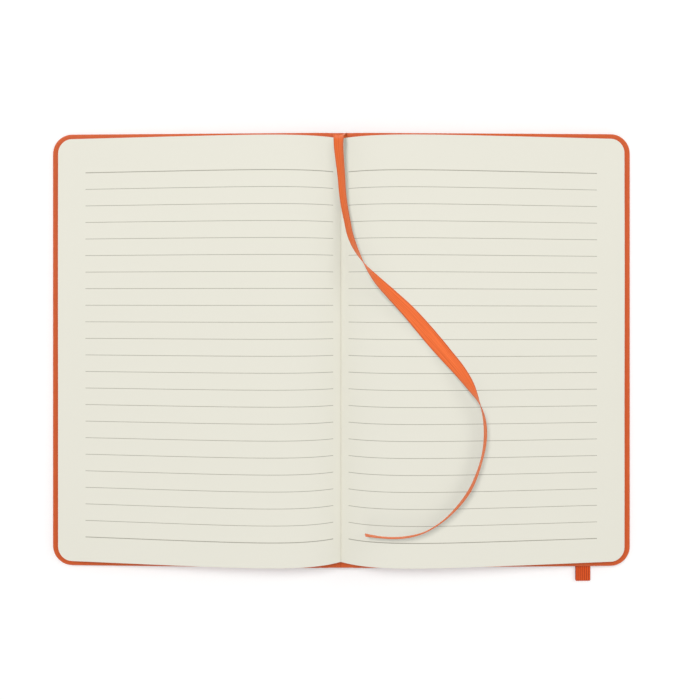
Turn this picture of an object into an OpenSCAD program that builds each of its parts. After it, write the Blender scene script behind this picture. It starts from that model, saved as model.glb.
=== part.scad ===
// A ruled notebook with soft-touch covers, lying open at its middle, face up.
// X runs across the two pages, +Y points to the head, +Z is up.
// The origin lies on the table under the middle of the box round the notebook.
// The front cover is on the left, the back cover with the elastic band on the right.

/* [Cover] */
// Height of the cover, head to tail
cover_h = 210; // [180:1:240]
// Distance from the hinge line to the cover's fore edge
cover_w = 132.6; // [120:0.1:150]
// Radius of the cover's two fore edge corners
cover_corner_r = 9.5; // [6:0.5:14]
// Thickness of the covering skin
skin_t = 0.5; // [0.4:0.05:0.7]
// Thickness of the grey board inside each cover
board_t = 1.8; // [1.4:0.1:2.4]
// Radius of the wrapped edges of the cover
edge_r = 0.8; // [0.5:0.1:1]
// Width of the skin turned in over the board's inner face
turn_in_w = 15; // [12:0.5:20]

/* [Spine] */
// Width of the flat of the spine
spine_w = 11; // [9:0.5:14]
// Height of the spine above the table while the notebook lies open
spine_lift = 4.2; // [3:0.1:6]
// Thickness of the card strip inside the spine
spine_card_t = 0.8; // [0.6:0.1:1]
// Thickness of the cloth lining glued on the back of the pages
lining_t = 0.5; // [0.3:0.05:0.7]
// Distance from the spine's flat to the hinge line, half of the groove
groove_half_w = 2.5; // [2:0.1:3.5]
// Depth that the groove is pressed in from outside
groove_depth = 0.8; // [0.5:0.1:1]

/* [Pages] */
// Height of the leaves, head to tail
leaf_h = 202.6; // [175:0.1:230]
// Distance from the gutter to the fore edge of the lowest leaves
leaf_w = 137.4; // [125:0.1:150]
// How much further in the fore edge of the top leaf lies
fan_back = 1.3; // [0.5:0.1:3]
// Radius of the leaves' fore edge corners
leaf_corner_r = 6.7; // [4:0.1:12]
// Thickness of the leaves on one side, pressed together
half_stack_t = 3.8; // [3:0.1:6]
// Number of sewn folds of leaves on one side
fold_count = 5; // [3:1:8]
// Ridges shown by the leaf edges of one fold
ridges_per_fold = 4; // [2:1:6]
// Depth of those ridges
ridge_depth = 0.12; // [0.05:0.01:0.2]
// How much shorter every second fold is at head and tail
fold_step = 0.15; // [0.05:0.05:0.4]
// Height above the table that the slope of the open page points to over the gutter
page_rise = 22.3; // [20:0.1:26]
// How far the page dips from that slope at the gutter
page_dip = 13.9; // [12:0.1:15]
// Length over which the dip fades
page_dip_len = 15.8; // [12:0.1:20]
// Length over which the inner leaves bend up from the back
root_bend_len = 1.6; // [1.2:0.1:2.5]

/* [Endpapers] */
// Thickness of the endpaper pasted down in each cover
endpaper_t = 0.25; // [0.15:0.01:0.3]
// Margin of bare turned-in skin round the endpaper
endpaper_inset = 5; // [4.5:0.5:9]
// Clearance between the endpaper and the leaves
leaf_gap = 0.1; // [0.05:0.01:0.3]

/* [Elastic band] */
// Width of the band
band_w = 7.2; // [5:0.1:10]
// Thickness of the band
band_t = 0.7; // [0.5:0.05:1]
// Distance from the hinge line to the middle of the band
band_x = 110.4; // [95:0.1:118]
// Distance from the cover's head or tail edge to its slot
band_slot_inset = 14; // [12:1:24]
// How far the slack loop reaches past the tail edge
band_reach = 8.1; // [4:0.1:15]
// Gap between the two runs inside the loop
band_loop_gap = 0.05; // [0.03:0.01:0.2]
// Clearance of a slot round the band
slot_gap = 0.1; // [0.05:0.01:0.2]

/* [Ribbon] */
// Width of the ribbon bookmark
ribbon_w = 7; // [5:0.5:9]
// Thickness of the ribbon bookmark
ribbon_t = 0.35; // [0.3:0.05:0.6]
// Clearance of the ribbon over the page
ribbon_gap = 0.3; // [0.2:0.05:0.6]

/* [Hidden] */
$fn = 64;

skin_color = [0.84, 0.33, 0.12];
page_color = [0.93, 0.92, 0.86];
board_color = [0.55, 0.54, 0.50];
lining_color = [0.90, 0.89, 0.84];
band_color = [0.80, 0.30, 0.12];
ribbon_color = [0.96, 0.45, 0.22];

// Stand-in for a length past every edge, for cuts that go right through
far = 400;
cover_t = skin_t + board_t;
hinge_x = spine_w / 2 + groove_half_w;
hinge_z = spine_lift + groove_depth;
block_back_z = spine_lift + skin_t + spine_card_t + max(lining_t, skin_t);
groove_slope_w = 1;
skin_fold_w = 0.2;
board_start = groove_half_w + skin_t;
front_lean = asin(spine_lift / (cover_w - edge_r));
// The back cover lies on the two runs of the band
band_drop = 2 * band_t + band_loop_gap;
band_outer_x = band_x + band_w / 2;
back_lean = asin((spine_lift - band_drop) / band_outer_x);
// Half width of the back of the pages, where the leaves of one side are held
back_half_stack_w = spine_w / 2 - 0.8;

// The fore edge of the leaves in numbers of one side, 0 for the lowest leaf and 1 for the top one
function leaf_edge_x(t) = leaf_w - fan_back * t;

// Height of the seat for the leaves over the cover, at a distance from the gutter
function seat_z(x, lean) =
    let (shoulder_x = hinge_x + board_start)
    let (top = cover_t + endpaper_t + leaf_gap - groove_depth)
    let (slope_z = hinge_z - (x - hinge_x) * tan(lean) + top / cos(lean))
    let (shoulder_z = hinge_z - board_start * tan(lean) + top / cos(lean))
    let (along = (x - back_half_stack_w) / (shoulder_x - back_half_stack_w))
    x >= shoulder_x ? slope_z : block_back_z + (shoulder_z - block_back_z) * max(along, 0);

// Height of the open page at a distance from the gutter
function page_z(x, lean) =
    let (edge_x = leaf_edge_x(1))
    let (edge_z = seat_z(edge_x, lean) + half_stack_t)
    page_rise - (page_rise - edge_z) * x / edge_x - page_dip * exp(-x / page_dip_len);

// Points of one leaf's curve from the back to its fore edge; t is 0 at the cover and 1 at the open page
curve_steps = 34;
function leaf_x(t, i) =
    let (root = back_half_stack_w * (1 - t))
    root + (leaf_edge_x(t) - root) * pow(i / curve_steps, 1.7);
function leaf_z(t, x, lean) =
    let (root = back_half_stack_w * (1 - t))
    let (low = seat_z(x, lean))
    let (free = low + t * (page_z(x, lean) - low))
    t == 0 ? low
    : t == 1 ? free
    : block_back_z + (free - block_back_z) * (1 - exp(-(x - root) / root_bend_len));
function leaf_curve(t, lean) = [for (i = [0:curve_steps]) [leaf_x(t, i), leaf_z(t, leaf_x(t, i), lean)]];

function reversed(list) = [for (i = [len(list) - 1:-1:0]) list[i]];

// Saw-tooth points between the fore edges of two leaves
function ridge_points(low, high) =
    let (n = 2 * ridges_per_fold)
    [for (j = [1:n - 1]) low + (high - low) * j / n - [(j % 2) * ridge_depth, 0]];

// Section of one fold of leaves
function fold_section(k, lean) =
    let (low = leaf_curve(k / fold_count, lean))
    let (high = leaf_curve((k + 1) / fold_count, lean))
    concat(
        k == fold_count - 1 ? [[0, block_back_z]] : [],
        low,
        ridge_points(low[curve_steps], high[curve_steps]),
        reversed(high));

// Plan of a sheet that reaches from x = 0 to the fore edge, with two rounded corners
module fore_edge_plan(width, height, corner_r) {
    translate([0, -height / 2]) square([width - corner_r, height]);
    translate([0, corner_r - height / 2]) square([width, height - 2 * corner_r]);
    for (side = [-1, 1])
        translate([width - corner_r, side * (height / 2 - corner_r)]) circle(corner_r);
}

// Moves a half of the notebook to its side: 1 for the back cover's side, -1 for the front cover's
module on_side(side) {
    mirror([side < 0 ? 1 : 0, 0, 0]) children();
}

// Puts a cover's own frame, with x from the hinge line and z from its outer face, on the hinge
module on_hinge(side, lean) {
    on_side(side)
        translate([hinge_x, 0, hinge_z]) rotate([0, lean, 0]) translate([0, 0, -groove_depth]) children();
}

// Centres the notebook and its slack loop of elastic over the origin
module in_place() {
    translate([0, band_reach / 2, 0]) children();
}

module fold_of_leaves(k, lean) {
    height = leaf_h - 2 * fold_step * (k % 2);
    intersection() {
        rotate([90, 0, 0]) linear_extrude(height = height, center = true)
            polygon(fold_section(k, lean));
        translate([0, 0, -1]) linear_extrude(height = far)
            fore_edge_plan(leaf_edge_x((k + 0.5) / fold_count) + 0.2, height, leaf_corner_r);
    }
}

module text_block() {
    color(page_color) in_place() union() {
        for (k = [0:fold_count - 1]) {
            on_side(1) fold_of_leaves(k, back_lean);
            on_side(-1) fold_of_leaves(k, front_lean);
        }
    }
}

// The cloth lining keeps clear of the skin turned in at the head and tail of the spine
module spine_lining() {
    lining_h = cover_h - 2 * turn_in_w;
    color(lining_color) in_place()
        translate([-back_half_stack_w, -lining_h / 2, block_back_z - lining_t])
            cube([2 * back_half_stack_w, lining_h, lining_t]);
}

module spine_card() {
    card_w = spine_w - 2 * skin_t;
    card_h = cover_h - 2 * skin_t;
    color(board_color) in_place()
        translate([-card_w / 2, -card_h / 2, spine_lift + skin_t])
            cube([card_w, card_h, spine_card_t]);
}

// Half section of the spine's skin, from the middle to the hinge line
function spine_skin_section() = [
    [0, spine_lift], [spine_w / 2, spine_lift], [spine_w / 2 + groove_slope_w, hinge_z],
    [hinge_x, hinge_z], [hinge_x, hinge_z + skin_t],
    [spine_w / 2 + groove_slope_w - skin_fold_w, hinge_z + skin_t],
    [spine_w / 2 - skin_fold_w, spine_lift + skin_t], [0, spine_lift + skin_t]];

module spine_cover() {
    flap_w = 2 * back_half_stack_w;
    flap_h = turn_in_w - skin_t;
    end_h = spine_card_t + skin_t;
    color(skin_color) in_place() union() {
        for (side = [-1, 1])
            on_side(side) rotate([90, 0, 0]) linear_extrude(height = cover_h, center = true)
                polygon(spine_skin_section());
        // The skin goes round the card at head and tail and is turned in over it
        for (end = [0, 1]) mirror([0, end, 0]) {
            translate([-flap_w / 2, cover_h / 2 - skin_t, spine_lift + skin_t])
                cube([flap_w, skin_t, end_h]);
            translate([-flap_w / 2, cover_h / 2 - skin_t - flap_h, spine_lift + skin_t + spine_card_t])
                cube([flap_w, flap_h, skin_t]);
        }
    }
}

// Section of a wrapped edge, with its outside at x = 0
module edge_section(depth) {
    translate([-depth, 0]) square([depth - edge_r, cover_t]);
    translate([-depth, edge_r]) square([depth, cover_t - 2 * edge_r]);
    for (z = [edge_r, cover_t - edge_r])
        translate([-edge_r, z]) circle(edge_r);
}

// Outer form of a cover from the board's inner edge on, with round wrapped edges
module cover_form() {
    r = cover_corner_r;
    long = cover_w - r - groove_half_w;
    translate([groove_half_w, r - cover_h / 2, 0]) cube([long, cover_h - 2 * r, cover_t]);
    translate([cover_w, 0, 0]) rotate([90, 0, 0])
        linear_extrude(height = cover_h - 2 * r, center = true) edge_section(r);
    for (end = [0, 1]) mirror([0, end, 0]) {
        translate([groove_half_w + long, cover_h / 2, 0]) rotate([90, 0, -90])
            mirror([1, 0, 0]) linear_extrude(height = long) edge_section(r);
        translate([cover_w - r, cover_h / 2 - r, 0])
            rotate_extrude(angle = 90) translate([r, 0]) edge_section(r);
    }
}

// The board: full size below, and raised inside the turned-in skin, which is pressed in flush
module board_form() {
    low_h = cover_h - 2 * skin_t;
    field_h = cover_h - 2 * turn_in_w;
    translate([0, 0, skin_t]) linear_extrude(height = board_t - skin_t)
        intersection() {
            fore_edge_plan(cover_w - skin_t, low_h, cover_corner_r - skin_t);
            translate([board_start, -far / 2]) square([far, far]);
        }
    translate([board_start, -field_h / 2, board_t])
        cube([cover_w - turn_in_w - board_start, field_h, skin_t]);
}

module band_slots() {
    for (y = [-1, 1] * (cover_h / 2 - band_slot_inset))
        translate([band_x - band_w / 2 - slot_gap, y - band_t / 2 - slot_gap, -1])
            cube([band_w + 2 * slot_gap, band_t + 2 * slot_gap, cover_t + 2]);
}

// Section of the skin in the groove's outer half
function groove_skin_section() = [
    [0, groove_depth], [groove_half_w - groove_slope_w, groove_depth], [groove_half_w, 0],
    [groove_half_w + skin_t, 0], [groove_half_w + skin_t, skin_t], [groove_half_w + skin_fold_w, skin_t],
    [groove_half_w - groove_slope_w + skin_fold_w, groove_depth + skin_t], [0, groove_depth + skin_t]];

module cover_skin() {
    difference() {
        cover_form();
        board_form();
        translate([0, -far / 2, skin_t]) cube([board_start, far, far]);
        translate([board_start, -(cover_h - 2 * turn_in_w) / 2, board_t - 1])
            cube([cover_w - turn_in_w - board_start, cover_h - 2 * turn_in_w, far]);
    }
    rotate([90, 0, 0]) linear_extrude(height = cover_h, center = true)
        polygon(groove_skin_section());
}

// The endpaper runs from the hinge line up over the board and stops short of the cover's edges
module endpaper_form() {
    field_h = cover_h - 2 * endpaper_inset;
    section = [
        [0, groove_depth + skin_t],
        [groove_half_w - groove_slope_w + skin_fold_w, groove_depth + skin_t],
        [board_start, cover_t],
        [cover_w - endpaper_inset, cover_t],
        [cover_w - endpaper_inset, cover_t + endpaper_t],
        [board_start, cover_t + endpaper_t],
        [groove_half_w - groove_slope_w + skin_fold_w, groove_depth + skin_t + endpaper_t],
        [0, groove_depth + skin_t + endpaper_t]];
    intersection() {
        rotate([90, 0, 0]) linear_extrude(height = field_h, center = true) polygon(section);
        translate([0, 0, -1]) linear_extrude(height = far)
            fore_edge_plan(cover_w - endpaper_inset, field_h, leaf_corner_r);
    }
}

module front_cover() {
    color(skin_color) in_place() on_hinge(-1, front_lean) cover_skin();
}

module front_board() {
    color(board_color) in_place() on_hinge(-1, front_lean) board_form();
}

module front_endpaper() {
    color(page_color) in_place() on_hinge(-1, front_lean) endpaper_form();
}

module back_cover() {
    color(skin_color) in_place() on_hinge(1, back_lean) difference() {
        cover_skin();
        band_slots();
    }
}

module back_board() {
    color(board_color) in_place() on_hinge(1, back_lean) difference() {
        board_form();
        band_slots();
    }
}

module back_endpaper() {
    color(page_color) in_place() on_hinge(1, back_lean) endpaper_form();
}

// Side view of the band: y along the cover, z from its outer face
module band_profile() {
    slot_y = cover_h / 2 - band_slot_inset;
    turn_r = band_t + band_loop_gap / 2;
    turn_y = -(cover_h / 2 + band_reach - turn_r);
    outer_low = -2 * turn_r;
    difference() {
        union() {
            translate([turn_y, -turn_r]) circle(turn_r);
            translate([turn_y, -band_t]) square([-slot_y + band_t / 2 - turn_y, band_t]);
            translate([turn_y, outer_low]) square([slot_y + band_t / 2 - turn_y, band_t]);
        }
        translate([turn_y, -turn_r]) circle(band_loop_gap / 2);
        translate([turn_y, -turn_r - band_loop_gap / 2]) square([far, band_loop_gap]);
    }
    translate([-slot_y - band_t / 2, -band_t]) square([band_t, cover_t + band_t]);
    translate([slot_y - band_t / 2, outer_low]) square([band_t, cover_t - outer_low]);
}

module elastic_band() {
    color(band_color) in_place() on_hinge(1, back_lean)
        translate([band_x, 0, 0]) rotate([90, 0, 90])
            linear_extrude(height = band_w, center = true) band_profile();
}

// The ribbon leaves the back of the pages at the head and bends over their edge: x, y, z of its middle
// and the angle of its width from flat
ribbon_head = [[-0.3, 101.9, 6.5, 0], [-0.4, 103.5, 6.8, 8], [-0.5, 104, 8.2, 20], [-0.8, 103, 10, 34]];
// Its route over the gutter and the right page: x, y and the angle of its width from flat
ribbon_route = [
    [-1.0, 101, 46], [-1.1, 97, 53], [-0.5, 90, 58], [0.2, 83, 62], [0.7, 76, 64], [1.6, 69, 66],
    [2.9, 62, 68], [4.4, 55, 70], [7.1, 48, 78], [11.4, 40.5, 97], [17, 33.5, 121], [23.9, 26.5, 136],
    [30.9, 19.5, 150], [37.2, 12.5, 163], [43.2, 5.5, 170], [49.2, -1.5, 158], [55.2, -8.5, 146],
    [60.2, -15.5, 128], [64, -22.5, 102], [66.3, -29.5, 87], [67.1, -36.5, 82.5], [66.7, -43.4, 86.5],
    [65.2, -50.4, 92.5], [62.9, -57.3, 90], [59.6, -64.2, 89.5], [54.5, -71, 94], [47.6, -77.6, 102],
    [39.5, -82.6, 104], [32.2, -84.8, 99.5], [24.9, -85.6, 99], [18, -85.5, 98], [11.3, -85, 91]];
ribbon_steps = 3;
ribbon_knots = len(ribbon_head) + len(ribbon_route);
ribbon_rings = ribbon_steps * (ribbon_knots - 1) + 1;

function page_top(x) = page_z(abs(x), x < 0 ? front_lean : back_lean);
function unit(v) = v / norm(v);
// Way of the route at one of its points, seen from above
function route_way(i) =
    let (a = ribbon_route[max(i - 1, 0)])
    let (b = ribbon_route[min(i + 1, len(ribbon_route) - 1)])
    unit([b[0] - a[0], b[1] - a[1]]);
// Unit vector across the ribbon, from the edge on the page to the edge that leans to the left of its way
function across(way, angle) = [-way[1] * cos(angle), way[0] * cos(angle), sin(angle)];
// Height of the ribbon's middle, so that both edges clear the page
function resting_z(x, half) =
    ribbon_gap + max(page_top(x), page_top(x - half[0]) + half[2], page_top(x + half[0]) - half[2]);
function ribbon_knot(i) =
    let (n = i - len(ribbon_head))
    let (p = ribbon_route[n])
    n < 0 ? ribbon_head[max(i, 0)]
    : [p[0], p[1], resting_z(p[0], across(route_way(n), p[2]) * ribbon_w / 2), p[2]];

// One value of a smooth curve from b to c, with its neighbours a and d
function through(a, b, c, d, f) =
    0.5 * (2 * b + (c - a) * f + (2 * a - 5 * b + 4 * c - d) * f * f + (3 * b - a - 3 * c + d) * f * f * f);
function ribbon_point(n) =
    let (last = ribbon_knots - 1)
    let (i = min(floor(n / ribbon_steps), last - 1))
    through(ribbon_knot(i - 1), ribbon_knot(i), ribbon_knot(i + 1), ribbon_knot(min(i + 2, last)),
        n / ribbon_steps - i);
function ribbon_ring(n) =
    let (p = ribbon_point(n))
    let (a = ribbon_point(max(n - 1, 0)))
    let (b = ribbon_point(min(n + 1, ribbon_rings - 1)))
    let (tangent = unit([b[0] - a[0], b[1] - a[1], b[2] - a[2]]))
    let (way = n <= ribbon_steps * len(ribbon_head) ? [0, -1] : unit([tangent[0], tangent[1]]))
    let (wide = across(way, p[3]) * ribbon_w / 2)
    let (thick = unit(cross(tangent, wide)) * ribbon_t / 2)
    [for (s = [[-1, -1], [1, -1], [1, 1], [-1, 1]])
        [p[0], p[1], p[2]] + wide * s[0] + thick * s[1]];

module ribbon_bookmark() {
    points = [for (n = [0:ribbon_rings - 1]) each ribbon_ring(n)];
    last = 4 * (ribbon_rings - 1);
    // The two faces of the twisted strip are split along the same diagonal, so that it keeps its thickness
    sides = [for (n = [0:ribbon_rings - 2]) for (j = [0:3])
        let (a = 4 * n + j) let (b = 4 * n + (j + 1) % 4)
        each j < 2 ? [[a, b, b + 4], [a, b + 4, a + 4]] : [[a, b, a + 4], [b, b + 4, a + 4]]];
    ends = [[0, 3, 2], [0, 2, 1], [last, last + 1, last + 2], [last, last + 2, last + 3]];
    color(ribbon_color) in_place() polyhedron(points = points, faces = concat(sides, ends));
}

text_block();
spine_lining();
spine_card();
spine_cover();
front_cover();
front_board();
front_endpaper();
back_cover();
back_board();
back_endpaper();
elastic_band();
ribbon_bookmark();
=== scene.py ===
import math

import bmesh
import bpy
import numpy as np
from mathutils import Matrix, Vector


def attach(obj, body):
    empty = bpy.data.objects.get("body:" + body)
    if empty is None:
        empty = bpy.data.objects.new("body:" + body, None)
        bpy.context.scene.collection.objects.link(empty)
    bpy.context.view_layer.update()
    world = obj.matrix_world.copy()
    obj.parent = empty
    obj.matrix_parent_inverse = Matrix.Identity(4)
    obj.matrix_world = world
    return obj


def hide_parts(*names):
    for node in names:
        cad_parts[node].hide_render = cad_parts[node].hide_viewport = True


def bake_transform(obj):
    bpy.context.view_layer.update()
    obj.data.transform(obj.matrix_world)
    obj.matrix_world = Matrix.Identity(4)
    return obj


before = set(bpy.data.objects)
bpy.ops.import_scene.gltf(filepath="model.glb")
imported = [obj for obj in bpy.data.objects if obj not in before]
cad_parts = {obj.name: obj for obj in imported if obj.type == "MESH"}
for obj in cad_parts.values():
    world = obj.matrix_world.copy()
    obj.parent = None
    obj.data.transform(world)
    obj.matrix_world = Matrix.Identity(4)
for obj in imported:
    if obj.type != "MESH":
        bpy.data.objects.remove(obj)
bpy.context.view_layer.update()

MM = 0.001
SEED = 7

# Construction, as the solids have it. Lengths are in millimetres in the half section's own frame:
# x from the gutter outwards, z from the table, y from the middle of the cover.
COVER_H = 210.0
COVER_W = 132.6
COVER_CORNER_R = 9.5
SKIN_T = 0.5
BOARD_T = 1.8
EDGE_R = 0.8
SPINE_W = 11.0
SPINE_LIFT = 4.2
SPINE_CARD_T = 0.8
GROOVE_HALF_W = 2.5
GROOVE_DEPTH = 0.8
GROOVE_SLOPE_W = 1.0
LEAF_H = 202.6
LEAF_W = 137.4
FAN_BACK = 1.3
LEAF_CORNER_R = 6.7
HALF_STACK_T = 3.8
BACK_INSET = 0.8
# The sewn leaves sit this much nearer to the head than the middle of the cover
PAGE_SHIFT = 0.25
# The open page runs straight down to its fore edge, less a dip at the gutter
PAGE_RISE = 22.3
PAGE_DIP = 13.9
PAGE_DIP_LEN = 15.8
# Below it the leaves leave the back in a bend, which is tighter the nearer they lie to the open page
ROOT_BEND_LEN = 1.6
ROOT_TIGHTENING = 0.85
ENDPAPER_T = 0.25
ENDPAPER_INSET = 5.0
LEAF_GAP = 0.1
BAND_W = 7.2
BAND_T = 0.7
BAND_X = 110.4
BAND_SLOT_INSET = 14.0
BAND_REACH = 8.1
BAND_LOOP_GAP = 0.05
SLOT_GAP = 0.1
RIBBON_W = 7.0
RIBBON_T = 0.28
RIBBON_GAP = 0.3
# The skins are shells of this thickness round their boards
SKIN_SHELL_T = 0.4
# The endpapers lie this much over their skins and are that much thinner, to keep the faces apart
ENDPAPER_LIFT = 0.03
ENDPAPER_SHAVE = 0.05

COVER_T = SKIN_T + BOARD_T
HINGE_X = SPINE_W / 2 + GROOVE_HALF_W
HINGE_Z = SPINE_LIFT + GROOVE_DEPTH
BACK_Z = SPINE_LIFT + SKIN_T + SPINE_CARD_T + SKIN_T
BACK_HALF_W = SPINE_W / 2 - BACK_INSET
BOARD_START = GROOVE_HALF_W + SKIN_T
MIDDLE_Y = BAND_REACH / 2
LEAN = {
    -1: math.asin(SPINE_LIFT / (COVER_W - EDGE_R)),
    1: math.asin((SPINE_LIFT - 2 * BAND_T - BAND_LOOP_GAP) / (BAND_X + BAND_W / 2)),
}

# Ruling
LINE_COUNT = 23
LINE_PITCH = 7.928
FIRST_LINE_Y = 85.22
LINE_START = 4.4
LINE_END = 124.5
LINE_HALF_W = 0.105
# The first and the last line are a little thicker
OUTER_LINE_EXTRA = 0.06
# Painted shade: the middle fold gets a faint shade line, which fades between these distances from it
FOLD_SHADE_START = 0.2
FOLD_SHADE_END = 0.9
FOLD_SHADE_DEPTH = 0.4
# The ruling of the right page runs down a little towards the fore edge
LINE_SKEW = 0.0035

# Route of the ribbon: where it bends over the head of the pages (x, y, z, angle of its width from flat),
# and then over the gutter and the right page (x, y, angle), in millimetres and degrees
RIBBON_HEAD = [(-0.3, 101.9, 6.5, 0), (-0.4, 103.5, 6.8, 8), (-0.5, 104, 8.2, 20), (-0.8, 103, 10, 34)]
RIBBON_ROUTE = [
    (-1, 101, 46), (-1.1, 97, 53), (-0.5, 90, 58), (0.2, 83, 62), (0.7, 76, 64), (1.6, 69, 66),
    (2.9, 62, 68), (4.4, 55, 70), (7.1, 48, 78), (11.4, 40.5, 97), (17, 33.5, 121), (23.9, 26.5, 136),
    (30.9, 19.5, 150), (37.2, 12.5, 163), (43.2, 5.5, 170), (49.2, -1.5, 158), (55.2, -8.5, 146),
    (60.2, -15.5, 128), (64, -22.5, 102), (66.3, -29.5, 92.3), (67.1, -36.5, 90.8), (66.7, -43.4, 93.7),
    (65.2, -50.4, 97.5), (62.9, -57.3, 96.6), (59.6, -64.2, 96.9), (54.5, -71, 99.9),
    (47.6, -77.6, 104.7), (39.5, -82.6, 106.1), (32.2, -84.8, 103.6), (24.9, -85.6, 103.2),
    (18, -85.5, 102.5), (11.3, -85, 98.6),
]
# How far the middle of the ribbon lies behind its edges where it leans
RIBBON_CURL = 0.9

# The photograph's camera looks straight down; its picture is cut from below and a little right of the
# point under it. Lengths are in millimetres.
CAMERA_X = 1.0
CAMERA_Y = 24.2
CAMERA_HEIGHT = 350.0
CAMERA_LENS = 36.7
CAMERA_SHIFT = (0.010, -0.0711)


def srgb(r, g, b):
    """Linear colour of an sRGB one given in 0 to 255, as a socket takes it."""
    values = [c / 255 for c in (r, g, b)]
    return tuple(c / 12.92 if c <= 0.04045 else ((c + 0.055) / 1.055) ** 2.4 for c in values) + (1.0,)


PAPER_COLOR = srgb(233, 231, 218)
LINE_COLOR = srgb(146, 141, 127)
# Painted shade of the middle fold
FOLD_SHADE_COLOR = srgb(206, 203, 188)
ENDPAPER_COLOR = srgb(231, 229, 216)
SKIN_COLOR = srgb(209, 87, 26)
SKIN_DARK_COLOR = srgb(196, 77, 20)
SKIN_WORN_COLOR = srgb(219, 102, 38)
BAND_COLOR = srgb(242, 98, 24)
# Darker colour of the elastic, for both its random tone and the painted shade in its grooves
BAND_TONE_AND_SHADE_COLOR = srgb(170, 52, 16)
RIBBON_COLOR = srgb(254, 124, 62)
RIBBON_DARK_COLOR = srgb(214, 88, 34)
RIBBON_SELVAGE_COLOR = srgb(196, 88, 44)
BOARD_COLOR = srgb(150, 146, 136)
LINING_COLOR = srgb(228, 226, 216)


# Camera

def make_camera():
    data = bpy.data.cameras.new("camera")
    data.lens = CAMERA_LENS
    data.sensor_width = 36.0
    data.shift_x, data.shift_y = CAMERA_SHIFT
    data.clip_start, data.clip_end = 0.01, 20.0
    camera = bpy.data.objects.new("camera", data)
    camera.location = (CAMERA_X * MM, (CAMERA_Y + MIDDLE_Y) * MM, CAMERA_HEIGHT * MM)
    bpy.context.scene.collection.objects.link(camera)
    bpy.context.scene.camera = camera


make_camera()


# Form of the open pages

def seat_z(x, lean):
    """Height of the seat for the leaves over the cover."""
    top = COVER_T + ENDPAPER_T + LEAF_GAP - GROOVE_DEPTH
    slope = HINGE_Z - (x - HINGE_X) * math.tan(lean) + top / math.cos(lean)
    shoulder_x = HINGE_X + BOARD_START
    shoulder = HINGE_Z - BOARD_START * math.tan(lean) + top / math.cos(lean)
    along = np.clip((x - BACK_HALF_W) / (shoulder_x - BACK_HALF_W), 0, 1)
    return np.where(x >= shoulder_x, slope, BACK_Z + (shoulder - BACK_Z) * along)


def page_z(x, lean):
    """Height of the open page."""
    edge_x = LEAF_W - FAN_BACK
    edge_z = seat_z(np.float64(edge_x), lean) + HALF_STACK_T
    return PAGE_RISE - (PAGE_RISE - edge_z) * x / edge_x - PAGE_DIP * np.exp(-x / PAGE_DIP_LEN)


def page_top(x):
    return float(page_z(np.float64(abs(x)), LEAN[-1 if x < 0 else 1]))


# The sheets are flat up to the first of these distances, and wavier over the second
WAVE_START = 40
WAVE_LEN = 95


def page_wave(x, y):
    """A faint waviness of the sheets towards their fore edge and corners."""
    reach = np.clip((x - WAVE_START) / WAVE_LEN, 0, 1) ** 2
    return reach * (0.10 * np.sin(y / 31 + 0.7) + 0.07 * np.sin(y / 17 + x / 40 + 2.1))


LEAF_CROWDING = 1.7


def leaf_line(t, lean, edge_x, steps):
    """x and z of one leaf from the back to the start of its corners, then round them.

    t is 0 at the cover and 1 at the open page. The points crowd towards the back, where the leaf bends.
    """
    root = BACK_HALF_W * (1 - t)
    arc = np.sin(np.linspace(0, math.pi / 2, 9))[1:]
    straight = edge_x - LEAF_CORNER_R
    x = root + (straight - root) * np.linspace(0, 1, steps) ** LEAF_CROWDING
    x = np.append(x, straight + LEAF_CORNER_R * arc)
    low = seat_z(x, lean)
    z = low + t * (page_z(x, lean) - low)
    if t < 1:
        bend_len = ROOT_BEND_LEN * (1 - ROOT_TIGHTENING * t**4)
        z = BACK_Z + (z - BACK_Z) * (1 - np.exp(-(x - root) / bend_len))
    return x, z


def half_height(x, edge_x, height):
    """Half the height of a leaf at x, with its rounded corners."""
    past = np.clip(x - (edge_x - LEAF_CORNER_R), 0, LEAF_CORNER_R)
    return height / 2 - LEAF_CORNER_R + np.sqrt(LEAF_CORNER_R**2 - past**2)


# Mesh helpers

def new_object(name, verts, faces, material, sheet=None, sharp=35):
    """An object of a closed mesh given in millimetres.

    sheet holds the place of each vertex on its flat material, which the materials read.
    """
    mesh = bpy.data.meshes.new(name)
    verts = np.asarray(verts, float).reshape(-1, 3)
    placed = (verts + np.array([0, MIDDLE_Y, 0])) * MM
    mesh.from_pydata(placed.tolist(), [], [list(map(int, f)) for f in faces])
    mesh.validate()
    mesh.shade_smooth()
    mesh.set_sharp_from_angle(angle=math.radians(sharp))
    attribute = mesh.attributes.new("sheet", "FLOAT_VECTOR", "POINT")
    values = verts if sheet is None else np.asarray(sheet, float).reshape(-1, 3)
    attribute.data.foreach_set("vector", values.astype(np.float32).ravel())
    mesh.materials.append(material)
    obj = bpy.data.objects.new(name, mesh)
    bpy.context.scene.collection.objects.link(obj)
    return obj


def slab_faces(n, m, first=0):
    """Faces of a closed slab: a top grid of n by m vertices and then a bottom grid of the same size."""
    def top(i, j):
        return first + i * m + j

    def bottom(i, j):
        return first + n * m + i * m + j

    faces = []
    for i in range(n - 1):
        for j in range(m - 1):
            faces.append((top(i, j), top(i + 1, j), top(i + 1, j + 1), top(i, j + 1)))
            faces.append((bottom(i, j), bottom(i, j + 1), bottom(i + 1, j + 1), bottom(i + 1, j)))
        faces.append((top(i, 0), bottom(i, 0), bottom(i + 1, 0), top(i + 1, 0)))
        faces.append((top(i, m - 1), top(i + 1, m - 1), bottom(i + 1, m - 1), bottom(i, m - 1)))
    for j in range(m - 1):
        faces.append((top(0, j), top(0, j + 1), bottom(0, j + 1), bottom(0, j)))
        faces.append((top(n - 1, j), bottom(n - 1, j), bottom(n - 1, j + 1), top(n - 1, j + 1)))
    return faces


def offset_line(x, z, distance):
    """A line in the section moved square to itself."""
    dx, dz = np.gradient(x), np.gradient(z)
    length = np.hypot(dx, dz)
    return x - dz / length * distance, z + dx / length * distance


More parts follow.
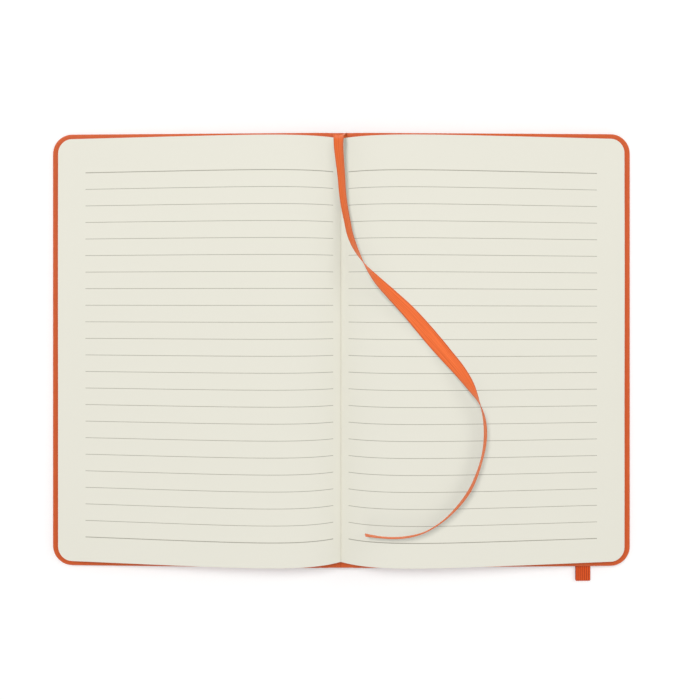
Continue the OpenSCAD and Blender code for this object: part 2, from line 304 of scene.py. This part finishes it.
def sheet_grid(x, z, edge_x, height, rows, wave, shift=0.0):
    """Grid of points of a sheet whose section is x, z; shift moves it towards the head."""
    grid = np.zeros((len(x), rows, 3))
    half = half_height(np.abs(x), edge_x, height)
    for i in range(len(x)):
        y = np.linspace(-half[i], half[i], rows)
        grid[i, :, 0] = x[i]
        grid[i, :, 1] = y + shift
        grid[i, :, 2] = z[i] + wave * page_wave(abs(x[i]), y)
    return grid


def arc_place(x, z):
    """Length along a section, counted from where it crosses x = 0."""
    along = np.concatenate([[0], np.cumsum(np.hypot(np.diff(x), np.diff(z)))])
    return along - np.interp(0, x, along)


# Node helpers

class Nodes:
    """Short calls to build a material's nodes."""

    def __init__(self, name):
        self.material = bpy.data.materials.new(name)
        self.material.use_nodes = True
        self.tree = self.material.node_tree
        self.shader = self.tree.nodes["Principled BSDF"]

    def add(self, kind, **inputs):
        node = self.tree.nodes.new(kind)
        for key, value in inputs.items():
            name = key.replace("_", " ")
            if hasattr(node, key):
                setattr(node, key, value)
            elif isinstance(value, bpy.types.NodeSocket):
                self.tree.links.new(value, node.inputs[name])
            else:
                node.inputs[name].default_value = value
        return node

    def math(self, operation, a, b=0.0, c=0.0):
        node = self.tree.nodes.new("ShaderNodeMath")
        node.operation = operation
        for socket, value in zip(node.inputs, (a, b, c)):
            if isinstance(value, bpy.types.NodeSocket):
                self.tree.links.new(value, socket)
            else:
                socket.default_value = value
        return node.outputs[0]

    def ramp(self, value, low, high):
        """0 below low and 1 above high, smooth between."""
        node = self.tree.nodes.new("ShaderNodeMapRange")
        node.interpolation_type = "SMOOTHSTEP"
        self.tree.links.new(value, node.inputs["Value"])
        node.inputs["From Min"].default_value = low
        node.inputs["From Max"].default_value = high
        return node.outputs["Result"]

    def mix(self, factor, a, b):
        node = self.tree.nodes.new("ShaderNodeMix")
        node.data_type = "RGBA"
        for socket, value in zip((node.inputs[0], node.inputs[6], node.inputs[7]), (factor, a, b)):
            if isinstance(value, bpy.types.NodeSocket):
                self.tree.links.new(value, socket)
            else:
                socket.default_value = value
        return node.outputs[2]

    def sheet(self):
        """The place on the flat material in millimetres, as a vector and its three parts."""
        place = self.add("ShaderNodeAttribute", attribute_name="sheet").outputs["Vector"]
        parts = self.add("ShaderNodeSeparateXYZ", Vector=place)
        return place, parts.outputs[0], parts.outputs[1], parts.outputs[2]

    def noise(self, place, scale, detail=2.0):
        node = self.add("ShaderNodeTexNoise", Vector=place, Scale=scale, Detail=detail)
        return node.outputs[0]

    def stretched(self, place, factors):
        node = self.add("ShaderNodeVectorMath", operation="MULTIPLY")
        self.tree.links.new(place, node.inputs[0])
        node.inputs[1].default_value = factors
        return node.outputs[0]

    def bump(self, height, strength, distance):
        node = self.add("ShaderNodeBump", Height=height, Strength=strength, Distance=distance)
        self.tree.links.new(node.outputs[0], self.shader.inputs["Normal"])

    def set(self, **values):
        for key, value in values.items():
            socket = self.shader.inputs[key.replace("_", " ")]
            if isinstance(value, bpy.types.NodeSocket):
                self.tree.links.new(value, socket)
            else:
                socket.default_value = value


def paper_material(name, color, ruled):
    """Uncoated paper with fine fibres; the ruling is a row of thin lines that stop short of the edges."""
    n = Nodes(name)
    place, u, v, _ = n.sheet()
    fibres = n.noise(place, 2.6, 4.0)
    cloud = n.noise(place, 0.02, 2.0)
    shade = tuple(c * 0.965 for c in color[:3]) + (1.0,)
    base = n.mix(n.math("MULTIPLY_ADD", fibres, 0.35, n.math("MULTIPLY", cloud, 0.45)), color, shade)
    if ruled:
        level = n.math("MULTIPLY_ADD", n.math("MAXIMUM", u, 0.0), LINE_SKEW, v)
        row = n.math("DIVIDE", n.math("SUBTRACT", FIRST_LINE_Y, level), LINE_PITCH)
        nearest = n.math("ROUND", row)
        off = n.math("MULTIPLY", n.math("ABSOLUTE", n.math("SUBTRACT", row, nearest)), LINE_PITCH)
        last = LINE_COUNT - 1
        from_middle = n.math("ABSOLUTE", n.math("SUBTRACT", nearest, last / 2))
        outer = n.math("GREATER_THAN", from_middle, last / 2 - 0.5)
        half_w = n.math("MULTIPLY_ADD", outer, OUTER_LINE_EXTRA, LINE_HALF_W)
        line = n.math("SUBTRACT", 1.0, n.ramp(n.math("SUBTRACT", off, half_w), -0.03, 0.05))
        on_rows = n.math("LESS_THAN", n.math("ABSOLUTE", n.math("SUBTRACT", row, last / 2)), last / 2 + 0.3)
        away = n.math("ABSOLUTE", u)
        started = n.math("GREATER_THAN", away, LINE_START)
        in_width = n.math("MULTIPLY", started, n.math("LESS_THAN", away, LINE_END))
        grain = n.math("MULTIPLY_ADD", n.noise(place, 1.7, 1.0), 0.35, 0.72)
        ink = n.math("MULTIPLY", n.math("MULTIPLY", line, on_rows), n.math("MULTIPLY", in_width, grain))
        base = n.mix(ink, base, LINE_COLOR)
        # Painted shade: the paper darkens towards the middle fold, as a shade line
        fold = n.math("SUBTRACT", 1.0, n.ramp(away, FOLD_SHADE_START, FOLD_SHADE_END))
        base = n.mix(n.math("MULTIPLY", fold, FOLD_SHADE_DEPTH), base, FOLD_SHADE_COLOR)
    n.set(Base_Color=base, Roughness=0.92, Specular_IOR_Level=0.25)
    n.bump(fibres, 0.12, 0.00004)
    return n.material


def skin_material():
    """Soft-touch covering with a fine leather grain, a little paler where its edges rub."""
    n = Nodes("soft_touch_skin")
    place, _, _, worn = n.sheet()
    flat = n.stretched(place, (1.0, 1.0, 0.0))
    cells = n.add("ShaderNodeTexVoronoi", Vector=flat, Scale=1.9, feature="DISTANCE_TO_EDGE").outputs[0]
    cloud = n.noise(flat, 0.035, 3.0)
    mottle = n.noise(flat, 0.9, 3.0)
    tone = n.math("MULTIPLY_ADD", mottle, 0.4, n.math("MULTIPLY", cloud, 0.6))
    base = n.mix(tone, SKIN_COLOR, SKIN_DARK_COLOR)
    rub = n.math("MULTIPLY", worn, n.ramp(mottle, 0.3, 0.7))
    base = n.mix(rub, base, SKIN_WORN_COLOR)
    pores = n.ramp(cells, 0.0, 0.14)
    n.set(Base_Color=base, Roughness=n.math("MULTIPLY_ADD", tone, 0.14, 0.50), Specular_IOR_Level=0.4,
          Sheen_Weight=0.12, Sheen_Roughness=0.45)
    height = n.math("MULTIPLY_ADD", n.noise(flat, 3.5, 2.0), 0.35, pores)
    n.bump(height, 0.35, 0.00006)
    return n.material


def band_material():
    """Woven elastic: cords run along it, covered by fine crossing threads; painted shade darkens the grooves
    between the cords and at the band's edges.
    """
    n = Nodes("woven_elastic")
    place, across, along, groove = n.sheet()
    threads = n.math("SINE", n.math("MULTIPLY", along, 2 * math.pi / 0.42))
    turn = n.math("SINE", n.math("MULTIPLY_ADD", across, 2 * math.pi / 0.36, n.math("MULTIPLY", along, 4.0)))
    weave = n.math("MULTIPLY_ADD", n.math("MULTIPLY", threads, turn), 0.5, 0.5)
    mottle = n.noise(n.stretched(place, (3.0, 0.35, 1.0)), 1.0, 2.0)
    # Painted shade in the grooves between the cords and at the edges, over a random mottle
    mottle_and_groove_shade = n.math("MULTIPLY_ADD", mottle, 0.3, n.math("MULTIPLY", groove, 0.8))
    tone = n.math("MULTIPLY_ADD", weave, 0.25, mottle_and_groove_shade)
    n.set(Base_Color=n.mix(tone, BAND_COLOR, BAND_TONE_AND_SHADE_COLOR), Roughness=0.78, Specular_IOR_Level=0.3,
          Sheen_Weight=0.25, Sheen_Roughness=0.4)
    n.bump(weave, 0.5, 0.00008)
    return n.material


def ribbon_material():
    """Satin ribbon: fine ribs across, streaks along, and a tight selvage at both edges."""
    n = Nodes("satin_ribbon")
    place, across, along, _ = n.sheet()
    ribs = n.math("MULTIPLY_ADD", n.math("SINE", n.math("MULTIPLY", along, 2 * math.pi / 0.3)), 0.5, 0.5)
    streaks = n.ramp(n.noise(n.stretched(place, (2.6, 0.035, 1.0)), 1.0, 4.0), 0.3, 0.75)
    selvage = n.ramp(n.math("ABSOLUTE", across), RIBBON_W / 2 - 0.8, RIBBON_W / 2 - 0.4)
    tone = n.math("MULTIPLY_ADD", ribs, 0.12, n.math("MULTIPLY", streaks, 0.75))
    base = n.mix(tone, RIBBON_COLOR, RIBBON_DARK_COLOR)
    base = n.mix(n.math("MULTIPLY", selvage, 0.5), base, RIBBON_SELVAGE_COLOR)
    n.set(Base_Color=base, Roughness=0.55, Specular_IOR_Level=0.2, Sheen_Weight=0.3, Sheen_Roughness=0.35,
          Sheen_Tint=srgb(255, 176, 130))
    n.bump(n.math("MULTIPLY_ADD", selvage, 0.8, ribs), 0.35, 0.00006)
    return n.material


def plain_material(name, color, roughness, grain_scale, grain):
    """Board and lining, which hardly show: a speckle of fibres over one colour, by the place in the part."""
    n = Nodes(name)
    place = n.add("ShaderNodeTexCoord").outputs["Object"]
    speckle = n.noise(place, grain_scale, 4.0)
    dark = tuple(c * (1 - grain) for c in color[:3]) + (1.0,)
    n.set(Base_Color=n.mix(speckle, color, dark), Roughness=roughness, Specular_IOR_Level=0.3)
    n.bump(speckle, 0.3, 0.0001)
    return n.material


RULED_PAPER = paper_material("ruled_paper", PAPER_COLOR, True)
PLAIN_PAPER = paper_material("plain_paper", PAPER_COLOR, False)
ENDPAPER = paper_material("endpaper_paper", ENDPAPER_COLOR, False)
SKIN = skin_material()
ELASTIC = band_material()
RIBBON = ribbon_material()
BOARD = plain_material("raw_grey_board", BOARD_COLOR, 0.9, 900.0, 0.35)
LINING = plain_material("lining_cloth", LINING_COLOR, 0.95, 1400.0, 0.25)


# Ribbon bookmark

def across_vector(way, angle):
    a = math.radians(angle)
    return np.array([-way[1] * math.cos(a), way[0] * math.cos(a), math.sin(a)])


def unit(v):
    return v / np.linalg.norm(v)


def ribbon_knots():
    """Points x, y, z and angle of the route, with the height at which both edges clear the page."""
    knots = [list(map(float, p)) for p in RIBBON_HEAD]
    route = np.array([p[:2] for p in RIBBON_ROUTE], float)
    for i, (x, y, angle) in enumerate(RIBBON_ROUTE):
        way = unit(route[min(i + 1, len(route) - 1)] - route[max(i - 1, 0)])
        half = across_vector(way, angle) * RIBBON_W / 2
        z = RIBBON_GAP + max(page_top(x), page_top(x - half[0]) + half[2], page_top(x + half[0]) - half[2])
        knots.append([x, y, z, float(angle)])
    return np.array(knots)


def smooth_route(knots, steps):
    """A smooth curve through the knots."""
    points = []
    last = len(knots) - 1
    for i in range(last):
        a, b, c, d = (knots[min(max(k, 0), last)] for k in (i - 1, i, i + 1, i + 2))
        for f in np.arange(steps) / steps:
            points.append(0.5 * (2 * b + (c - a) * f + (2 * a - 5 * b + 4 * c - d) * f**2
                                 + (3 * b - a - 3 * c + d) * f**3))
    points.append(knots[last])
    return np.array(points)


RIBBON_STEPS = 8
RIBBON_POINTS_ACROSS = 9
# The middle of the ribbon is this share of its thickness thinner on each side than its selvages
RIBBON_HOLLOW = 0.12


def make_ribbon():
    knots = ribbon_knots()
    route = smooth_route(knots, RIBBON_STEPS)
    line = route[:, :3]
    along = np.concatenate([[0], np.cumsum(np.linalg.norm(np.diff(line, axis=0), axis=1))])
    widths = np.linspace(-0.5, 0.5, RIBBON_POINTS_ACROSS) * RIBBON_W
    n, m = len(route), len(widths)
    grids = np.zeros((2, n, m, 3))
    sheets = np.zeros((2, n, m, 3))
    for i in range(n):
        tangent = unit(line[min(i + 1, n - 1)] - line[max(i - 1, 0)])
        way = (0.0, -1.0) if i <= RIBBON_STEPS * len(RIBBON_HEAD) else unit(tangent[:2])
        wide = across_vector(way, route[i, 3])
        face = unit(np.cross(tangent, wide))
        lean = math.radians(route[i, 3])
        curl = RIBBON_CURL * math.sin(2 * lean) * abs(math.cos(lean))
        for j, w in enumerate(widths):
            thick = RIBBON_T * (0.5 - RIBBON_HOLLOW * (abs(w) < RIBBON_W * 0.4))
            hollow = curl * (1 - (2 * w / RIBBON_W) ** 2)
            for k, s in enumerate((1, -1)):
                grids[k, i, j] = line[i] + wide * w + face * (s * thick - hollow)
                sheets[k, i, j] = (w, along[i], 0)
    ribbon = new_object("ribbon", grids, slab_faces(n, m), RIBBON, sheets, 50)
    fix_normals(ribbon)
    # The pages keep their own tone beside the ribbon, as in the photograph
    ribbon.visible_diffuse = False
    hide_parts("ribbon_bookmark")
    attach(ribbon, "pages")
    return float(along[-1])


def fix_normals(obj):
    """Turns every face of a closed mesh outwards."""
    bm = bmesh.new()
    bm.from_mesh(obj.data)
    bmesh.ops.recalc_face_normals(bm, faces=bm.faces)
    bm.to_mesh(obj.data)
    bm.free()


ribbon_measured = make_ribbon()
print("ribbon length", round(ribbon_measured, 2), "mm")


# Pages

LEAVES = 40
LEAVES_PER_FOLD = 8
LEAF_T = HALF_STACK_T / LEAVES
# Shares of its place that a leaf takes up: where it starts in a fold, where a new fold starts, where it ends
LEAF_LOW = 0.10
FOLD_LOW = 0.28
LEAF_HIGH = 0.90
# Every other fold is cut this much shorter, and the cut of single leaves scatters
FOLD_STEP = 0.3
WIDTH_SCATTER = (-0.14, 0.06)
HEIGHT_SCATTER = (-0.12, 0.0)


def make_open_leaf():
    """The sheet that lies open, from fore edge to fore edge, with its ruling."""
    edge_x = LEAF_W - FAN_BACK
    left_x, left_z = leaf_line(1.0, LEAN[-1], edge_x, 52)
    right_x, right_z = leaf_line(1.0, LEAN[1], edge_x, 52)
    x = np.concatenate([-left_x[::-1], right_x[1:]])
    z = np.concatenate([left_z[::-1], right_z[1:]])
    rows = 34
    _, low_z = offset_line(x, z, -LEAF_T * LEAF_HIGH)
    top = sheet_grid(x, z, edge_x, LEAF_H, rows, 1.0, PAGE_SHIFT)
    low = sheet_grid(x, low_z, edge_x, LEAF_H, rows, 1.0, PAGE_SHIFT)
    place = arc_place(x, z)
    sheets = np.zeros((2, len(x), rows, 3))
    sheets[..., 0] = place[None, :, None]
    sheets[0, ..., 1] = top[..., 1]
    sheets[1, ..., 1] = low[..., 1]
    leaf = new_object("open_leaf", np.array([top, low]), slab_faces(len(x), rows), RULED_PAPER, sheets, 40)
    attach(leaf, "pages")


def make_page_block():
    """The leaves under the open one, sewn in folds.

    They fan out under the arch and lie closer at the fore edge.
    """
    rng = np.random.default_rng(SEED)
    verts, faces, sheets = [], [], []
    rows = 6
    for side in (-1, 1):
        for k in range(LEAVES - 1):
            fold, within = divmod(k, LEAVES_PER_FOLD)
            low_t = (k + (FOLD_LOW if within == 0 else LEAF_LOW)) / LEAVES
            high_t = (k + LEAF_HIGH) / LEAVES
            edge_x = LEAF_W - FAN_BACK * high_t + rng.uniform(*WIDTH_SCATTER)
            height = LEAF_H - FOLD_STEP * (fold % 2) + rng.uniform(*HEIGHT_SCATTER)
            grids = []
            for t in (high_t, low_t):
                x, z = leaf_line(t, LEAN[side], edge_x, 26)
                grids.append(sheet_grid(side * x, z, edge_x, height, rows, t, PAGE_SHIFT))
            block = np.array(grids if side > 0 else [g[::-1] for g in grids])
            faces += slab_faces(len(x), rows, len(verts))
            verts += block.reshape(-1, 3).tolist()
            place = block.copy()
            place[..., 2] = k
            sheets += place.reshape(-1, 3).tolist()
    block = new_object("page_block", verts, faces, PLAIN_PAPER, sheets, 40)
    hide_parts("text_block")
    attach(block, "pages")


make_open_leaf()
make_page_block()


# Covering skin

def outer_z(x):
    """Outer face of the skin over the spine, the groove and the board, from the board's outer face."""
    rise = np.clip((GROOVE_HALF_W - np.abs(x)) / GROOVE_SLOPE_W, 0, 1)
    return GROOVE_DEPTH * rise * rise * (3 - 2 * rise)


def inner_z(x):
    """Inner face of the turned-in skin."""
    low = GROOVE_DEPTH + 2 * SKIN_T
    up = np.clip((x - GROOVE_HALF_W + GROOVE_SLOPE_W) / (BOARD_START - GROOVE_HALF_W + GROOVE_SLOPE_W), 0, 1)
    return low + (COVER_T - low) * up * up * (3 - 2 * up)


def on_cover(side, points):
    """Places points of a cover's flat frame, with x from the hinge line: the spine's half stays level."""
    lean = LEAN[side]
    placed = np.array(points, float)
    x, z = placed[..., 0].copy(), placed[..., 2] - GROOVE_DEPTH
    beyond = x > 0
    placed[..., 0] = HINGE_X + np.where(beyond, x * math.cos(lean) + z * math.sin(lean), x)
    placed[..., 2] = HINGE_Z + np.where(beyond, z * math.cos(lean) - x * math.sin(lean), z)
    placed[..., 0] *= side
    return placed


def cover_outline():
    """Points and inward normals round the edge, from the spine at the head to the spine at the tail."""
    r = COVER_CORNER_R
    groove = np.arange(-3.0, 3.01, 0.25)
    board = np.linspace(4, COVER_W - r, 26)
    head_x = np.concatenate([np.linspace(-HINGE_X, -3.6, 6), groove, board])
    points = [(x, COVER_H / 2, 0, -1) for x in head_x]
    for a in np.linspace(90, 0, 13)[1:-1]:
        c, s = math.cos(math.radians(a)), math.sin(math.radians(a))
        points.append((COVER_W - r + r * c, COVER_H / 2 - r + r * s, -c, -s))
    side_y = np.linspace(COVER_H / 2 - r, r - COVER_H / 2, 29)
    mirrored = [(x, -y, nx, -ny) for x, y, nx, ny in points[::-1]]
    points += [(COVER_W, y, -1, 0) for y in side_y]
    return head_x, side_y, np.array(points + mirrored)


def make_skin(side, name):
    """One half of the covering: the outer face, the rounded edge and the strip turned in over the board."""
    head_x, side_y, outline = cover_outline()
    x, y, nx, ny = outline.T
    edge = np.minimum(EDGE_R, (inner_z(x) - outer_z(x)) / 2 - 0.02)
    rows, wear = [], []

    def add_row(distance, z, worn):
        row = np.stack([x + nx * distance, y + ny * distance, z], axis=-1)
        rows.append(row)
        wear.append(worn)

    for distance in (COVER_CORNER_R, 6.0, 3.5, 1.8):
        px = x + nx * distance
        add_row(distance, outer_z(px), 0.0)
    for a in np.radians([0, 25, 50, 75, 90]):
        add_row(edge * (1 - math.sin(a)), outer_z(x) + edge * (1 - math.cos(a)), 0.55)
    for a in np.radians([90, 65, 40, 15, 0]):
        add_row(edge * (1 - math.sin(a)), inner_z(x) - edge * (1 - math.cos(a)), 0.55)
    for distance in (1.8, 4.0, 6.5, 9.0):
        px = x + nx * distance
        add_row(distance, inner_z(px), 0.0)
    rows = np.array(rows)
    count = len(outline)
    verts = rows.reshape(-1, 3).tolist()
    sheet_wear = np.repeat(wear, count).tolist()
    faces = []
    for i in range(len(rows) - 1):
        for j in range(count - 1):
            a = i * count + j
            faces.append((a, a + 1, a + count + 1, a + count))
    inner_y = np.linspace(COVER_H / 2 - COVER_CORNER_R, COVER_CORNER_R - COVER_H / 2, len(side_y))
    grid_start = len(verts)
    for gx in head_x:
        for gy in inner_y:
            verts.append((gx, gy, float(outer_z(np.float64(gx)))))
            sheet_wear.append(0.0)
    m = len(inner_y)
    for i in range(len(head_x) - 1):
        for j in range(m - 1):
            a = grid_start + i * m + j
            faces.append((a, a + m, a + m + 1, a + 1))
    flat = np.array(verts)
    sheet = flat.copy()
    sheet[:, 2] = sheet_wear
    skin = new_object(name, on_cover(side, flat), faces, SKIN, sheet, 60)
    close_skin(skin)
    return skin


def close_skin(skin):
    """Joins the rows to the outer face's grid, turns the faces outwards and gives the skin its thickness."""
    bm = bmesh.new()
    bm.from_mesh(skin.data)
    bmesh.ops.remove_doubles(bm, verts=bm.verts, dist=0.00002)
    bmesh.ops.recalc_face_normals(bm, faces=bm.faces)
    lowest = min(bm.faces, key=lambda f: f.calc_center_median().z)
    if lowest.normal.z > 0:
        bmesh.ops.reverse_faces(bm, faces=bm.faces)
    bm.to_mesh(skin.data)
    bm.free()
    solidify = skin.modifiers.new("thickness", "SOLIDIFY")
    solidify.thickness = SKIN_SHELL_T * MM
    solidify.offset = -1
    apply_modifiers(skin)


def apply_modifiers(obj):
    depsgraph = bpy.context.evaluated_depsgraph_get()
    mesh = bpy.data.meshes.new_from_object(obj.evaluated_get(depsgraph), depsgraph=depsgraph)
    obj.modifiers.clear()
    obj.data = mesh


def cut_slots(skin):
    """The two slots that the elastic band goes through."""
    wide, deep = BAND_W / 2 + SLOT_GAP, BAND_T / 2 + SLOT_GAP
    for end in (-1, 1):
        y = end * (COVER_H / 2 - BAND_SLOT_INSET)
        corners = [(BAND_X + sx * wide, y + sy * deep, z)
                   for sx in (-1, 1) for sy in (-1, 1) for z in (-1.0, COVER_T + 1.0)]
        hull = [(0, 1, 3, 2), (4, 6, 7, 5), (0, 4, 5, 1), (2, 3, 7, 6), (0, 2, 6, 4), (1, 5, 7, 3)]
        cutter = new_object("cutter", on_cover(1, corners), hull, SKIN)
        fix_normals(cutter)
        cut = skin.modifiers.new("slot", "BOOLEAN")
        cut.object = cutter
        cut.operation = "DIFFERENCE"
        cut.solver = "EXACT"
        apply_modifiers(skin)
        bpy.data.objects.remove(cutter)


def blend_over_hinge(piece):
    """Bakes the piece's placement into its mesh."""
    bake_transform(piece)


front_skin = make_skin(-1, "front_skin")
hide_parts("front_cover", "spine_cover")
blend_over_hinge(front_skin)

back_skin = make_skin(1, "back_skin")
cut_slots(back_skin)
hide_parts("back_cover")
blend_over_hinge(back_skin)


# Endpapers

def make_endpaper(side, name, node):
    """Pasted down in the cover, it bridges the groove and is held at the shoulder of the pages."""
    height = COVER_H - 2 * ENDPAPER_INSET
    edge_x = COVER_W - ENDPAPER_INSET
    arc = np.sin(np.linspace(0, math.pi / 2, 7))[1:]
    bridge = np.arange(-3.0, BOARD_START + 0.4, 0.3)
    board = np.linspace(BOARD_START + 0.8, edge_x - LEAF_CORNER_R, 14)
    x = np.concatenate([bridge, board, edge_x - LEAF_CORNER_R + LEAF_CORNER_R * arc])
    z = inner_z(x) + ENDPAPER_LIFT
    rows = 12
    top = sheet_grid(x, z + ENDPAPER_T - ENDPAPER_SHAVE, edge_x, height, rows, 0.0)
    low = sheet_grid(x, z, edge_x, height, rows, 0.0)
    block = np.array([top, low])
    paper = new_object(name, on_cover(side, block), slab_faces(len(x), rows), ENDPAPER, block, 40)
    fix_normals(paper)
    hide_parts(node)
    blend_over_hinge(paper)


make_endpaper(-1, "front_paste_down", "front_endpaper")
make_endpaper(1, "back_paste_down", "back_endpaper")


# Elastic band

def band_route():
    """Side view of the band's middle: y along the cover and z from its outer face."""
    slot_y = COVER_H / 2 - BAND_SLOT_INSET
    half = BAND_T / 2
    turn_r = half + BAND_LOOP_GAP / 2
    turn_y = -(COVER_H / 2 + BAND_REACH - BAND_T - BAND_LOOP_GAP / 2)
    outer = -half - 2 * turn_r
    bend = 0.45
    corner = np.radians(np.linspace(0, 90, 6))
    points = [(slot_y, COVER_T), (slot_y, outer + bend + 0.6)]
    points += [(slot_y - bend + bend * math.cos(a), outer + bend - bend * math.sin(a)) for a in corner]
    points += [(y, outer) for y in np.linspace(slot_y - 4, turn_y + 2, 40)]
    points += [(turn_y - turn_r * math.sin(a), -half - turn_r - turn_r * math.cos(a))
               for a in np.radians(np.linspace(0, 180, 13))]
    points += [(y, -half) for y in (turn_y + 2, turn_y + 6, -slot_y - 4)]
    points += [(-slot_y - bend + bend * math.sin(a), -half + bend - bend * math.cos(a)) for a in corner]
    points += [(-slot_y, 0.8), (-slot_y, COVER_T)]
    return np.array(points)


def make_band():
    ribs = 7
    per_rib = 6
    m = ribs * per_rib + 1
    share = np.linspace(0, ribs, m)
    valley = np.abs(np.cos(math.pi * share)) ** 4
    widths = (share / ribs - 0.5) * BAND_W
    round_off = np.sqrt(np.clip(1 - (np.abs(widths) / (BAND_W / 2)) ** 14, 0, 1))
    thick = BAND_T / 2 * (1 - 0.28 * valley) * (0.35 + 0.65 * round_off)
    route = band_route()
    n = len(route)
    along = np.concatenate([[0], np.cumsum(np.linalg.norm(np.diff(route, axis=0), axis=1))])
    grids = np.zeros((2, n, m, 3))
    sheets = np.zeros((2, n, m, 3))
    for i in range(n):
        tangent = unit(route[min(i + 1, n - 1)] - route[max(i - 1, 0)])
        normal = np.array([-tangent[1], tangent[0]])
        for j in range(m):
            for k, s in enumerate((1, -1)):
                y, z = route[i] + normal * s * thick[j]
                grids[k, i, j] = (BAND_X + widths[j], y, z)
                # The third place is the groove, which the material darkens as painted shade
                sheets[k, i, j] = (widths[j], along[i], valley[j])
    band = new_object("elastic", on_cover(1, grids), slab_faces(n, m), ELASTIC, sheets, 70)
    fix_normals(band)
    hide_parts("elastic_band")
    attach(band, "back")


make_band()


# Construction pieces that keep their solids

for node, material in (("front_board", BOARD), ("back_board", BOARD), ("spine_card", BOARD),
                       ("spine_lining", LINING)):
    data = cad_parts[node].data
    data.materials.clear()
    data.materials.append(material)


# Floor and light, in metres and watts

FLOOR_SIZE = 6.0
# The floor lies this much lower than the notebook's lowest faces
FLOOR_DROP = 0.00002
# What the camera sees of the floor glows this much, so that it comes out white
FLOOR_GLOW = 0.165
# Between these distances the floor turns to the white of the background
HORIZON_START = 0.16
HORIZON_END = 1.2
HORIZON_GLOW = 0.8
SKY_STRENGTH = 0.465
# Name, place, side and power
LAMPS = [
    ("key", (-0.5, 0.78, 1.75), 0.55, 17.4),
    ("side", (1.3, 0.5, 1.15), 0.9, 5.6),
    ("fill", (0.0, -1.7, 1.1), 1.5, 4.6),
]


def make_floor():
    mesh = bpy.data.meshes.new("floor")
    size = FLOOR_SIZE
    corners = [(-size, -size, 0), (size, -size, 0), (size, size, 0), (-size, size, 0)]
    mesh.from_pydata(corners, [], [(0, 1, 2, 3)])
    floor = bpy.data.objects.new("floor", mesh)
    floor.location.z = -FLOOR_DROP
    bpy.context.scene.collection.objects.link(floor)
    n = Nodes("pale_floor")
    n.set(Base_Color=(0.88, 0.88, 0.88, 1.0), Roughness=0.9, Specular_IOR_Level=0.1,
          Emission_Color=(1.0, 1.0, 1.0, 1.0))
    place = n.add("ShaderNodeTexCoord").outputs["Object"]
    reach = n.add("ShaderNodeVectorMath", operation="LENGTH")
    n.tree.links.new(place, reach.inputs[0])
    far = n.ramp(reach.outputs["Value"], HORIZON_START, HORIZON_END)
    white = n.math("MULTIPLY_ADD", far, HORIZON_GLOW, FLOOR_GLOW)
    seen = n.add("ShaderNodeLightPath").outputs["Is Camera Ray"]
    n.set(Emission_Strength=n.math("MULTIPLY", seen, white))
    mesh.materials.append(n.material)


def make_world(strength):
    world = bpy.data.worlds.new("studio")
    bpy.context.scene.world = world
    world.use_nodes = True
    tree = world.node_tree
    background = tree.nodes["Background"]
    background.inputs["Color"].default_value = (1.0, 1.0, 1.0, 1.0)
    path = tree.nodes.new("ShaderNodeLightPath")
    seen = tree.nodes.new("ShaderNodeMath")
    seen.operation = "MAXIMUM"
    tree.links.new(path.outputs["Is Camera Ray"], seen.inputs[0])
    mirrored = tree.nodes.new("ShaderNodeMath")
    mirrored.operation = "MAXIMUM"
    tree.links.new(path.outputs["Is Glossy Ray"], mirrored.inputs[0])
    tree.links.new(path.outputs["Is Transmission Ray"], mirrored.inputs[1])
    tree.links.new(mirrored.outputs[0], seen.inputs[1])
    level = tree.nodes.new("ShaderNodeMapRange")
    tree.links.new(seen.outputs[0], level.inputs["Value"])
    level.inputs["To Min"].default_value = strength
    level.inputs["To Max"].default_value = 1.0
    tree.links.new(level.outputs["Result"], background.inputs["Strength"])


def make_lamp(name, place, size, power):
    data = bpy.data.lights.new(name, "AREA")
    data.shape = "SQUARE"
    data.size = size
    data.energy = power
    lamp = bpy.data.objects.new(name, data)
    lamp.location = place
    lamp.rotation_euler = (-Vector(place)).to_track_quat("-Z", "Y").to_euler()
    bpy.context.scene.collection.objects.link(lamp)


make_floor()
make_world(SKY_STRENGTH)
for lamp in LAMPS:
    make_lamp(*lamp)
bpy.context.scene.view_settings.view_transform = "Standard"
